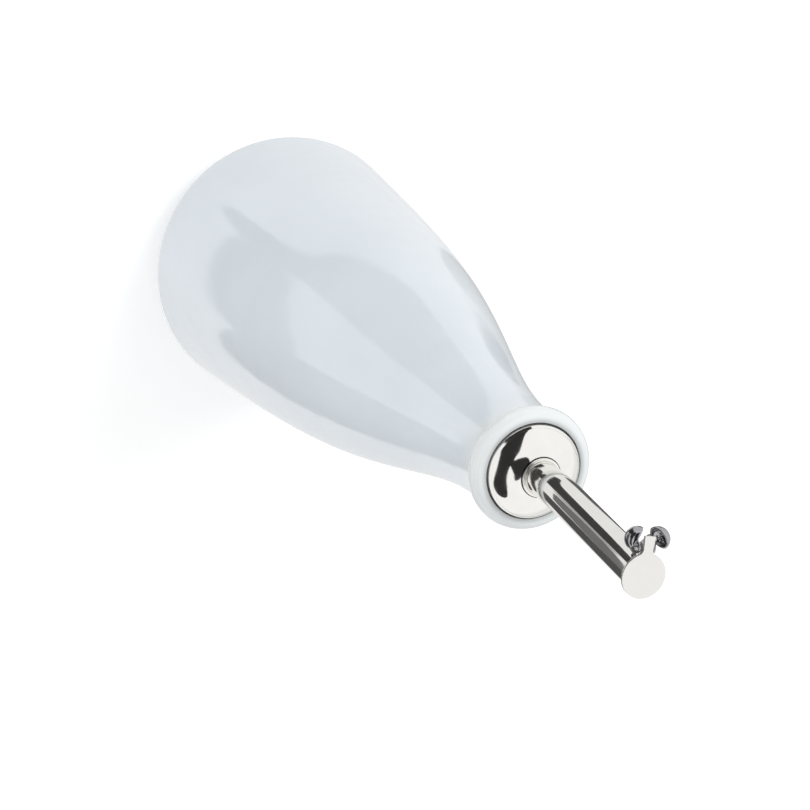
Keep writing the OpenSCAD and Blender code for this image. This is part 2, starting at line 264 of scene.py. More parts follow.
def draw_line(name, points):
    """A new mesh that is one open line through the points, left in edit mode and selected."""
    deselect()
    bpy.ops.mesh.primitive_plane_add(size=MM)
    line = bpy.context.object
    line.name = line.data.name = name
    bpy.ops.object.mode_set(mode="EDIT")
    bpy.ops.mesh.merge(type="CENTER")
    bpy.ops.transform.translate(value=points[0])
    for a, b in zip(points, points[1:]):
        step = Vector(b) - Vector(a)
        bpy.ops.mesh.extrude_region_move(TRANSFORM_OT_translate={"value": step})
    bpy.ops.mesh.select_all(action="SELECT")
    return line


def settle(obj, smooth=35.0):
    """Applies the object's place to its mesh and smooths all but its sharp edges."""
    pick(obj)
    bpy.ops.object.transform_apply(location=True, rotation=True, scale=True)
    bpy.ops.object.shade_smooth_by_angle(angle=math.radians(smooth))
    return obj


def use_modifier(obj, kind, **values):
    """Adds a modifier with these values and applies it."""
    pick(obj)
    bpy.ops.object.modifier_add(type=kind)
    modifier = obj.modifiers[-1]
    for key, value in values.items():
        setattr(modifier, key, value)
    bpy.ops.object.modifier_apply(modifier=modifier.name)


def face_out():
    """Turns every face of the mesh in edit mode outwards, and leaves edit mode."""
    bpy.ops.mesh.select_all(action="SELECT")
    bpy.ops.mesh.normals_make_consistent(inside=False)
    bpy.ops.object.mode_set(mode="OBJECT")


def select_rim(obj):
    """Selects the open edges of the mesh in edit mode."""
    mesh = bmesh.from_edit_mesh(obj.data)
    for edge in mesh.edges:
        edge.select_set(edge.is_boundary)
    bmesh.update_edit_mesh(obj.data)


def turned(name, outline, steps=128, closed=False):
    """Spins an outline of (radius, height) in millimetres round the Z axis."""
    points = [(r * MM, 0, z * MM) for r, z in outline]
    if closed:
        points.append(points[0])
    obj = draw_line(name, points)
    bpy.ops.mesh.spin(steps=steps, angle=math.tau, center=(0, 0, 0), axis=(0, 0, 1))
    bpy.ops.mesh.select_all(action="SELECT")
    bpy.ops.mesh.remove_doubles(threshold=MERGE)
    face_out()
    return obj


def plate(name, outline, low, high, width=0.0, segments=2):
    """A flat plate: an outline of (x, y) in millimetres, raised from low to high, edges rounded."""
    points = [(x * MM, y * MM, low * MM) for x, y in outline]
    obj = draw_line(name, points + points[:1])
    bpy.ops.mesh.remove_doubles(threshold=MERGE)
    bpy.ops.mesh.edge_face_add()
    bpy.ops.mesh.extrude_region_move(TRANSFORM_OT_translate={"value": (0, 0, (high - low) * MM)})
    face_out()
    if width:
        use_modifier(obj, "BEVEL", width=width * MM, segments=segments, limit_method="ANGLE",
                     angle_limit=BEVEL_ANGLE)
    return obj


def arc(cx, cy, r, start, end, count):
    """Points along an arc, angles in degrees."""
    turn = [math.radians(start + (end - start) * i / count) for i in range(count + 1)]
    return [(cx + r * math.cos(a), cy + r * math.sin(a)) for a in turn]


def spread(low, high, rows):
    """Heights from low to high in even rows, without the first."""
    return [low + (high - low) * i / rows for i in range(1, rows + 1)]


def rounded(points, radii, count=4):
    """A line of points whose inner corners are cut by a soft curve of about these radii."""
    out = [points[0]]
    for i in range(1, len(points) - 1):
        p, r = Vector(points[i]), radii[i]
        if not r:
            out.append(points[i])
            continue
        a = (Vector(points[i - 1]) - p).normalized() * r
        b = (Vector(points[i + 1]) - p).normalized() * r
        for k in range(count + 1):
            t = k / count
            q = p + a * (1 - t) ** 2 + b * t ** 2
            out.append(tuple(q))
    out.append(points[-1])
    return out


def at_mouth(obj):
    """Moves a piece that was made round the origin to the mouth, turned to the hinge."""
    pick(obj)
    obj.matrix_world = MOUTH @ obj.matrix_world
    return obj


# Materials
def new_material(name):
    """A new node material and its Principled shader."""
    material = bpy.data.materials.new(name)
    material.use_nodes = True
    return material, material.node_tree.nodes["Principled BSDF"]


def add_node(material, kind, **sockets):
    """Adds a node and sets or links its sockets; a name with no such socket is set on the node."""
    node = material.node_tree.nodes.new(kind)
    for key, value in sockets.items():
        name = key.replace("_", " ")
        if name in node.inputs:
            wire(material, node.inputs[name], value)
        else:
            setattr(node, key, value)
    return node


def wire(material, socket, value):
    """Links a node's output to the socket, or sets the socket's own value."""
    if isinstance(value, bpy.types.NodeSocket):
        material.node_tree.links.new(value, socket)
    else:
        socket.default_value = value


def place(material):
    """The piece's own coordinates."""
    return add_node(material, "ShaderNodeTexCoord").outputs["Object"]


def drawn_out(material, where, stretch, rotation):
    """Coordinates turned, then stretched along their new Z axis, for lines along a piece."""
    mapping = add_node(material, "ShaderNodeMapping", vector_type="TEXTURE", Vector=where,
                       Rotation=rotation, Scale=(1, 1, stretch))
    return mapping.outputs["Vector"]


def from_axis(material, where):
    """Distance from the Z axis."""
    flat = add_node(material, "ShaderNodeVectorMath", operation="MULTIPLY")
    wire(material, flat.inputs[0], where)
    flat.inputs[1].default_value = (1, 1, 0)
    out = add_node(material, "ShaderNodeVectorMath", operation="LENGTH")
    wire(material, out.inputs[0], flat.outputs["Vector"])
    return out.outputs["Value"]


def noise(material, where, scale, detail=3.0, roughness=0.5):
    """Noise at a scale per metre."""
    node = add_node(material, "ShaderNodeTexNoise", Vector=where, Scale=scale, Detail=detail,
                    Roughness=roughness)
    return node.outputs["Fac"]


def remap(material, value, low, high, to_low, to_high, smooth=False):
    """Maps a range of one value to another, clamped."""
    node = add_node(material, "ShaderNodeMapRange", Value=value, From_Min=low, From_Max=high,
                    To_Min=to_low, To_Max=to_high)
    if smooth:
        node.interpolation_type = "SMOOTHSTEP"
    return node.outputs["Result"]


def blend(material, factor, a, b):
    """Mixes two colours."""
    node = material.node_tree.nodes.new("ShaderNodeMix")
    node.data_type = "RGBA"
    wire(material, node.inputs["Factor"], factor)
    wire(material, node.inputs["A"], a)
    wire(material, node.inputs["B"], b)
    return node.outputs["Result"]


def bump(material, height, strength, distance):
    """Bump from a height, distance in metres."""
    node = add_node(material, "ShaderNodeBump", Height=height, Strength=strength, Distance=distance)
    return node.outputs["Normal"]


def colour(values, factor=1.0):
    """An RGBA colour from three values, made lighter or darker by a factor."""
    return (*(min(1.0, v * factor) for v in values), 1.0)


def glazed_porcelain(glaze, lit_lip_glaze, biscuit, seat_r):
    """White glaze, a little uneven and wavy, with painted light that makes the lip lighter and less blue,
    and a bare ring under the foot.

    On the lip, painted contact shade darkens it towards the seat, whose radius is in metres.
    """
    material, shader = new_material("glazed_porcelain")
    where = place(material)
    height = add_node(material, "ShaderNodeSeparateXYZ", Vector=where).outputs["Z"]
    cloud = remap(material, noise(material, where, scale=26.0, detail=2.0), 0.35, 0.65, 0, 1)
    body = blend(material, cloud, colour(glaze, 0.98), colour(glaze, 1.02))
    # Painted light: from the neck's top up, the glaze changes to the lip's lighter, less blue copy.
    lip_lit = remap(material, height, (NECK_Z - LIP_LIGHT_BELOW) * MM, (NECK_Z + LIP_LIGHT_ABOVE) * MM, 0, 1,
                   smooth=True)
    # Painted shade: the lip's glaze darkens towards the seat, where the cap shades it.
    seat_shade = remap(material, from_axis(material, where), seat_r, seat_r + SEAT_SHADE_W * MM, 1, 0,
                 smooth=True)
    lip = blend(material, seat_shade, colour(lit_lip_glaze), colour(lit_lip_glaze, 0.66))
    tone = blend(material, lip_lit, body, lip)
    bare = remap(material, height, BARE_FULL * MM, BARE_END * MM, 1, 0)
    clay = blend(material, noise(material, where, scale=2600.0, detail=4.0),
                 colour(biscuit, 0.85), colour(biscuit, 1.1))
    wire(material, shader.inputs["Base Color"], blend(material, bare, tone, clay))
    sheen = remap(material, noise(material, where, scale=60.0, detail=3.0), 0.3, 0.7, 0.10, 0.16)
    rough = add_node(material, "ShaderNodeMath", operation="MAXIMUM")
    wire(material, rough.inputs[0], sheen)
    wire(material, rough.inputs[1], remap(material, bare, 0, 1, 0, 0.75))
    wire(material, shader.inputs["Roughness"], rough.outputs["Value"])
    waves = noise(material, where, scale=42.0, detail=2.0)
    wire(material, shader.inputs["Normal"], bump(material, waves, strength=0.35, distance=0.0012))
    shader.inputs["IOR"].default_value = 1.5
    shader.inputs["Coat Weight"].default_value = 0.3
    shader.inputs["Coat Roughness"].default_value = 0.12
    return material


def polished_steel(name, steel, rough, lines, joint_shade=None):
    """Mirror-polished steel; lines maps coordinates so that faint polishing marks follow the piece.

    A joint shade is the middle radius and half the width of a dark line of painted shade where another
    piece is brazed on.
    """
    material, shader = new_material(name)
    where = place(material)
    haze = noise(material, where, scale=180.0, detail=4.0)
    marks = noise(material, lines(material, where), scale=3600.0, detail=3.0)
    tone = blend(material, remap(material, haze, 0.3, 0.7, 0, 1),
                 colour(steel, 0.97), colour(steel, 1.02))
    # Painted shade: a near-black line at this radius.
    if joint_shade:
        in_joint_shade = add_node(material, "ShaderNodeMath", operation="COMPARE")
        for socket, value in zip(in_joint_shade.inputs, (from_axis(material, where), *joint_shade)):
            wire(material, socket, value)
        tone = blend(material, in_joint_shade.outputs["Value"], tone, colour(steel, 0.06))
    wire(material, shader.inputs["Base Color"], tone)
    shader.inputs["Metallic"].default_value = 1.0
    both = add_node(material, "ShaderNodeMath", operation="MULTIPLY")
    wire(material, both.inputs[0], haze)
    wire(material, both.inputs[1], marks)
    wire(material, shader.inputs["Roughness"],
         remap(material, both.outputs["Value"], 0.12, 0.4, rough * 0.6, rough * 1.6))
    wire(material, shader.inputs["Normal"], bump(material, marks, strength=0.05, distance=0.00002))
    return material


def spun(material, where):
    """Polishing marks left by a turning piece."""
    return add_node(material, "ShaderNodeCombineXYZ", X=from_axis(material, where)).outputs["Vector"]


def drawn_along_spout(material, where):
    """Polishing marks along the leaning spout."""
    return drawn_out(material, where, stretch=40.0, rotation=(0, math.radians(LEAN), 0))


def pressed(material, where):
    """Polishing marks across small pressed parts."""
    return drawn_out(material, where, stretch=12.0, rotation=(0.6, 0.3, 0.9))


def satin_steel(flap):
    """Fine satin steel: a soft, nearly even sheen with a fine grain."""
    material, shader = new_material("satin_steel")
    where = place(material)
    grain = noise(material, where, scale=5200.0, detail=3.0)
    lines = drawn_out(material, where, stretch=14.0, rotation=(math.radians(90), 0, 0.5))
    brushed = noise(material, lines, scale=9000.0, detail=2.0)
    wire(material, shader.inputs["Base Color"],
         blend(material, remap(material, grain, 0.3, 0.7, 0, 1),
               colour(flap, 0.96), colour(flap, 1.02)))
    shader.inputs["Metallic"].default_value = 1.0
    wire(material, shader.inputs["Roughness"], remap(material, grain, 0.3, 0.7, 0.32, 0.44))
    wire(material, shader.inputs["Normal"], bump(material, brushed, strength=0.12, distance=0.00002))
    return material


def sleeve_rubber(sleeve):
    """Soft matt rubber with a fine moulded grain."""
    material, shader = new_material("sleeve_rubber")
    where = place(material)
    grain = noise(material, where, scale=3000.0, detail=4.0)
    wire(material, shader.inputs["Base Color"],
         blend(material, grain, colour(sleeve, 0.92), colour(sleeve, 1.05)))
    wire(material, shader.inputs["Roughness"], remap(material, grain, 0.3, 0.7, 0.5, 0.68))
    wire(material, shader.inputs["Normal"], bump(material, grain, strength=0.15, distance=0.00005))
    return material


def core_plastic(core):
    """Hard moulded plastic."""
    material, shader = new_material("core_plastic")
    where = place(material)
    grain = noise(material, where, scale=1800.0, detail=3.0)
    wire(material, shader.inputs["Base Color"],
         blend(material, grain, colour(core, 0.96), colour(core, 1.03)))
    wire(material, shader.inputs["Roughness"], remap(material, grain, 0.3, 0.7, 0.38, 0.5))
    wire(material, shader.inputs["Normal"], bump(material, grain, strength=0.08, distance=0.00004))
    return material


def finish_with(obj, material):
    """Gives the whole piece one material."""
    obj.data.materials.clear()
    obj.data.materials.append(material)


def dress(obj, body, slot, material, *nodes):
    """Puts a finished piece on its body in place of the CAD nodes; the slot is not used."""
    finish_with(obj, material)
    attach(obj, body)
    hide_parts(*nodes)


def dress_node(name, material):
    """Gives a CAD node that stays a better material in every slot."""
    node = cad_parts[name]
    for place_in in node.material_slots:
        place_in.material = material


# Bottle
def body_radius(z, belly):
    """Outside radius of the body at a height, in millimetres."""
    if z <= HEEL_R:
        return belly
    if z >= NECK_Z:
        return NECK_R
    up = (z - HEEL_R) / (NECK_Z - HEEL_R)
    full = (1 + math.cos(math.pi * up ** SHOULDER_FULL)) / 2
    return NECK_R + (belly - NECK_R) * (1 - BODY_TAPER * up) * full


def hollow_radius(z, belly, top):
    """Inside radius at a height, drawn in to the bore at the top, in millimetres."""
    draw = min(1.0, (top - z) / BORE_TAPER)
    return BORE_R + (body_radius(z, belly) - WALL - BORE_R) * (1 - math.cos(math.pi * draw)) / 2


class CRUET_OT_bottle(bpy.types.Operator):
    """Throws the porcelain bottle as one closed wall, inside and out"""

    bl_idname = "cruet.bottle"
    bl_label = "Bottle"

    def execute(self, context):
        cruet = context.scene.cruet
        belly, tall, lip = cruet.belly_r / MM, cruet.bottle_h / MM, cruet.lip_r / MM
        lip_c, lip_z = lip - LIP_ROLL_R, tall - LIP_ROLL_R
        heel_c, inner_heel = belly - HEEL_R, HEEL_R - WALL / 2
        inner_top, inner_foot = tall - BORE_LEN, FLOOR + inner_heel
        seat, seat_r = tall - SEAT_DEPTH, cruet.cap_r / MM + SEAT_GAP
        foot = rounded([(0, FOOT_DEPTH), (FOOT_HOLLOW_R, FOOT_DEPTH),
                        (FOOT_HOLLOW_R + FOOT_SLOPE, 0), (heel_c, 0)], FOOT_SOFT)
        heel = arc(heel_c, HEEL_R, HEEL_R, -90, 0, 16)[1:]
        outside = [(body_radius(z, belly), z) for z in spread(HEEL_R, NECK_Z, OUTSIDE_ROWS)]
        roll = arc(lip_c, lip_z, LIP_ROLL_R, LIP_FROM, LIP_TO, 24)
        under = rounded([(NECK_R, NECK_Z), (NECK_R, lip_z - LIP_UNDER), roll[0]], UNDER_SOFT,
                        count=6)[1:-1]
        mouth = rounded([roll[-1], (seat_r, roll[-1][1]), (seat_r, seat), (BORE_R, seat),
                         (BORE_R, inner_top)], MOUTH_SOFT, count=5)[1:]
        inside = [(hollow_radius(z, belly, inner_top), z)
                  for z in spread(inner_top, inner_foot, INSIDE_ROWS)]
        well = arc(inside[-1][0] - inner_heel, inner_foot, inner_heel, 0, -90, 10)[1:]
        outline = foot + heel + outside + under + roll + mouth + inside + well + [(0, FLOOR)]
        bottle = turned("bottle_body", outline, steps=160)
        settle(bottle, smooth=60)
        dress(bottle, "bottle", "porcelain",
              glazed_porcelain(cruet.glaze, cruet.lit_lip_glaze, cruet.biscuit, seat_r * MM), "bottle")
        return {"FINISHED"}


# Cap, ring and stopper
class CRUET_OT_cap(bpy.types.Operator):
    """Presses the domed cap and turns the ring round the foot of the spout"""

    bl_idname = "cruet.cap"
    bl_label = "Cap and ring"

    def execute(self, context):
        cruet = context.scene.cruet
        cap, seat = cruet.cap_r / MM, cruet.bottle_h / MM - SEAT_DEPTH
        crown_z = seat + SKIRT_H + DOME_H
        dome_r = (cap ** 2 + DOME_H ** 2) / (2 * DOME_H)
        dome_c = crown_z - dome_r
        edge = math.degrees(math.asin(cap / dome_r))
        hole = math.degrees(math.asin(TUBE_R / dome_r))
        inner_r = dome_r - CAP_T
        inner_edge = math.degrees(math.asin((cap - CAP_T) / inner_r))
        inner_hole = math.degrees(math.asin(TUBE_R / inner_r))
        outer = arc(0, dome_c, dome_r, 90 - edge, 90 - hole, 28)
        inner = arc(0, dome_c, inner_r, 90 - inner_hole, 90 - inner_edge, 20)
        line = [(cap - CAP_T, seat), (cap, seat)] + outer + inner + [(cap - CAP_T, seat)]
        soft = CAP_SOFT + [0] * (len(line) - len(CAP_SOFT))
        shell = turned("cap_shell", rounded(line, soft, count=5), steps=144)
        settle(shell, smooth=40)
        ring_r, ring_top = RING_HIGH.x / MM - RING_HUG, RING_HIGH.z / MM - RING_DROP
        # Painted shade: a thin dark line on the cap round the ring's foot.
        ring_joint_shade = ((ring_r + JOINT_SHADE_W / 2) * MM, JOINT_SHADE_W / 2 * MM)
        dress(shell, "pourer", "polished_steel",
              polished_steel("cap_steel_joint_shade", cruet.steel, rough=0.07, lines=spun, joint_shade=ring_joint_shade), "cap_dome")
        foot_out = dome_c + math.sqrt(dome_r ** 2 - ring_r ** 2)
        foot_in = dome_c + math.sqrt(dome_r ** 2 - TUBE_R ** 2)
        step_r, step_z = ring_r - RING_LEDGE, ring_top - RING_STEP
        line = [(ring_r, foot_out), (ring_r, step_z), (step_r, step_z), (step_r, ring_top),
                (TUBE_R + RING_EDGE, ring_top), (TUBE_R, ring_top - RING_EDGE),
                (TUBE_R, foot_in), (ring_r, foot_out)]
        ring = turned("spout_collar", rounded(line, RING_SOFT, count=3), steps=96)
        settle(ring, smooth=40)
        dress(ring, "pourer", "polished_steel",
              polished_steel("ring_steel", cruet.steel, rough=0.08, lines=spun), "spout_ring")
        return {"FINISHED"}


class CRUET_OT_stopper(bpy.types.Operator):
    """Moulds the ribbed rubber sleeve and finishes the parts hidden in the neck"""

    bl_idname = "cruet.stopper"
    bl_label = "Stopper"

    def execute(self, context):
        cruet = context.scene.cruet
        low, high = SLEEVE_LOW.z / MM, SLEEVE_HIGH.z / MM
        pitch = (high - low - 2 * SLEEVE_END) / RIB_COUNT
        line = [(CORE_R, low), (SLEEVE_R - SLEEVE_EDGE, low), (SLEEVE_R, low + SLEEVE_EDGE)]
        for i in range(RIB_COUNT):
            middle = low + SLEEVE_END + pitch * (i + 0.5)
            line += [(SLEEVE_R + out, middle + up) for out, up in RIB_LINE]
        line += [(SLEEVE_R, high - SLEEVE_EDGE), (SLEEVE_R - SLEEVE_EDGE, high), (CORE_R, high)]
        sleeve = turned("ribbed_sleeve", line, steps=96, closed=True)
        settle(sleeve, smooth=50)
        dress(sleeve, "pourer", "sleeve_rubber", sleeve_rubber(cruet.sleeve), "stopper_sleeve")
        dress_node("stopper_core", core_plastic(cruet.core))
        plain = polished_steel("washer_steel", cruet.steel, rough=0.16, lines=pressed)
        dress_node("stopper_washer", plain)
        dress_node("air_tube", plain)
        return {"FINISHED"}


# Spout
class CRUET_OT_spout(bpy.types.Operator):
    """Draws the pouring tube: a straight stub, a soft bend and the leaning spout, cut level"""

    bl_idname = "cruet.spout"
    bl_label = "Spout tube"

    def execute(self, context):
        cruet = context.scene.cruet
        lean = math.radians(LEAN)
        low, corner = WASHER_LOW.z, cruet.bottle_h + CORNER_UP * MM
        cut = BEND_R * math.tan(lean / 2) * MM
        deselect()
        bpy.ops.mesh.primitive_circle_add(vertices=96, radius=TUBE_R * MM, location=(0, 0, low))
        tube = bpy.context.object
        tube.name = tube.data.name = "spout_pipe"
        bpy.ops.object.mode_set(mode="EDIT")
        bpy.ops.mesh.extrude_region_move(TRANSFORM_OT_translate={"value": (0, 0, corner - cut - low)})
        bpy.ops.mesh.spin(steps=14, angle=-lean, center=(BEND_R * MM, 0, corner - cut), axis=(0, 1, 0))
        along = Vector((math.sin(lean), 0, math.cos(lean)))
        bpy.ops.mesh.extrude_region_move(
            TRANSFORM_OT_translate={"value": along * (SPOUT_LEN * MM - cut + TUBE_R * MM)})
        face_out()
        use_modifier(tube, "SOLIDIFY", thickness=TUBE_T * MM, offset=-1.0, use_even_offset=True)
        pick(tube)
        bpy.ops.object.mode_set(mode="EDIT")
        bpy.ops.mesh.select_all(action="SELECT")
        bpy.ops.mesh.bisect(plane_co=MOUTH.translation, plane_no=(0, 0, 1), clear_outer=True,
                            use_fill=False)
        select_rim(tube)
        bpy.ops.mesh.bridge_edge_loops()
        face_out()
        use_modifier(tube, "BEVEL", width=TUBE_EDGE * MM, segments=2, limit_method="ANGLE",
                     angle_limit=BEVEL_ANGLE)
        settle(tube, smooth=40)
        dress(tube, "pourer", "polished_steel",
              polished_steel("spout_steel", cruet.steel, rough=0.08, lines=drawn_along_spout), "spout_tube")
        return {"FINISHED"}


# Hinge and flap
class CRUET_OT_hinge(bpy.types.Operator):
    """Makes the bracket with its two dished ears, and the pin through it"""

    bl_idname = "cruet.hinge"
    bl_label = "Hinge"

    def execute(self, context):
        cruet = context.scene.cruet
        cheek_in = TAIL_W / 2 + CHEEK_GAP
        cheek_out = cheek_in + CHEEK_T
        saddle_top = -(PIN_DROP + BARREL_R + SADDLE_GAP)
        front, back = TUBE_R - CHEEK_SUNK, EAR_U - CHEEK_BACK
        edge = [(front, saddle_top - SADDLE_H), (TUBE_R + CHEEK_FOOT, saddle_top - SADDLE_H),
                (back, -PIN_DROP - CHEEK_BACK_LOW), (back, -PIN_DROP - CHEEK_BACK_HIGH)]
        edge += arc(PIN_U, -PIN_DROP, BARREL_R + CHEEK_RIM, 0, 180, 18)
        edge += [(front, saddle_top + CHEEK_UP)]
        parts = []
        for side in (-1, 1):
            cheek = plate("cheek", edge, -CHEEK_T / 2, CHEEK_T / 2)
            cheek.matrix_world = (
                Matrix.Translation((0, side * (cheek_in + CHEEK_T / 2) * MM, 0))
                @ Matrix.Rotation(math.radians(90), 4, "X"))
            parts.append(settle(at_mouth(cheek)))
            parts.append(self.ear(side))
        parts.append(self.saddle(saddle_top))
        pick(*parts)
        bpy.ops.object.join()
        bracket = bpy.context.object
        bracket.name = bracket.data.name = "hinge_saddle"
        use_modifier(bracket, "REMESH", mode="VOXEL", voxel_size=VOXEL * MM, adaptivity=0.0)
        use_modifier(bracket, "SMOOTH", factor=SMOOTHING, iterations=SMOOTH_ROUNDS)
        settle(bracket, smooth=80)
        # Painted reflection: the bracket's darkened steel stands in for the dark surroundings it mirrors.
        dress(bracket, "pourer", "steel",
              polished_steel("bracket_steel_painted_dark", cruet.bracket, rough=0.1, lines=pressed), "hinge_bracket")

        head = cheek_out + HEAD_PROUD
        line = [(0, head)] + arc(0, head - HEAD_R, HEAD_R, 90, HEAD_FROM, 8)[1:]
        line += [(HEAD_R, cheek_out + HEAD_RIM), (PIN_R, cheek_out), (PIN_R, -cheek_out)]
        line += [(r, -z) for r, z in reversed(line[:-2])]
        pin = turned("hinge_rivet", line, steps=48)
        pin.matrix_world = ON_PIN
        settle(at_mouth(pin), smooth=50)
        dress(pin, "pourer", "steel",
              polished_steel("pin_steel", cruet.steel, rough=0.1, lines=pressed), "hinge_pin")
        return {"FINISHED"}

    def ear(self, side):
        """One dished ear: a cap cut from a ball, given its sheet's thickness."""
        ball = (EAR_R ** 2 + EAR_DEPTH ** 2) / (2 * EAR_DEPTH)
        deselect()
        bpy.ops.mesh.primitive_uv_sphere_add(segments=64, ring_count=48, radius=ball * MM,
                                             location=(0, 0, (EAR_DEPTH - ball) * MM))
        ear = bpy.context.object
        bpy.ops.object.mode_set(mode="EDIT")
        bpy.ops.mesh.bisect(plane_co=(0, 0, 0), plane_no=(0, 0, -1), clear_outer=True)
        bpy.ops.object.mode_set(mode="OBJECT")
        use_modifier(ear, "SOLIDIFY", thickness=EAR_T * MM, offset=-1.0, use_even_offset=True)
        ear.matrix_world = (
            Matrix.Translation((EAR_U * MM, side * EAR_SIDE * MM, (-PIN_DROP + EAR_UP) * MM))
            @ Matrix.Rotation(math.radians(side * EAR_SPLAY), 4, "Z")
            @ Matrix.Rotation(math.radians(90 + EAR_FALL), 4, "Y") @ ear.matrix_world)
        return settle(at_mouth(ear))

    def saddle(self, top):
        """The curved plate that holds the bracket to the tube."""
        inner, outer, low = TUBE_R - SADDLE_LAP, TUBE_R + SADDLE_T, top - SADDLE_H
        line = [(inner, low), (outer, low), (outer, top), (inner, top)]
        half = math.radians(SADDLE_HALF)
        points = [(r * MM * math.cos(half), r * MM * math.sin(half), z * MM)
                  for r, z in line + line[:1]]
        saddle = draw_line("saddle", points)
        bpy.ops.mesh.remove_doubles(threshold=MERGE)
        bpy.ops.mesh.spin(steps=24, angle=2 * half, center=(0, 0, 0), axis=(0, 0, 1))
        select_rim(saddle)
        bpy.ops.mesh.edge_face_add()
        face_out()
        return settle(at_mouth(saddle))


class CRUET_OT_flap(bpy.types.Operator):
    """Stamps the round flap with its waisted neck and rolls its barrel round the pin"""

    bl_idname = "cruet.flap"
    bl_label = "Flap"

    def execute(self, context):
        cruet = context.scene.cruet
        side = WAIST_W / 2 + NECK_FILLET
        far = math.sqrt((FLAP_R + NECK_FILLET) ** 2 - side ** 2)
        turn = math.degrees(math.atan2(side, far))
        outline = [(TAIL_U, -TAIL_W / 2), (TAIL_U, TAIL_W / 2)]
        outline += arc(far, side, NECK_FILLET, 270, 180 + turn, 10)
        outline += arc(0, 0, FLAP_R, turn, 360 - turn, 110)[1:]
        outline += arc(far, -side, NECK_FILLET, 180 - turn, 90, 10)[1:]
        flap = plate("pour_disc", outline, FLAP_GAP, FLAP_GAP + FLAP_T, width=FLAP_EDGE, segments=3)
        inner, end = PIN_R + PIN_GAP, (WAIST_W - BARREL_TRIM) / 2
        line = [(inner, -end), (BARREL_R, -end), (BARREL_R, end), (inner, end)]
        barrel = turned("barrel", line, steps=48, closed=True)
        barrel.matrix_world = ON_PIN
        settle(barrel)
        pick(flap)
        use_modifier(flap, "BOOLEAN", operation="UNION", object=barrel, solver="EXACT")
        bpy.data.objects.remove(barrel)
        settle(at_mouth(flap), smooth=40)
        use_modifier(flap, "WEIGHTED_NORMAL", mode="FACE_AREA", weight=90, keep_sharp=True)
        dress(flap, "flap", "satin_steel", satin_steel(cruet.flap), "pour_flap")
        return {"FINISHED"}


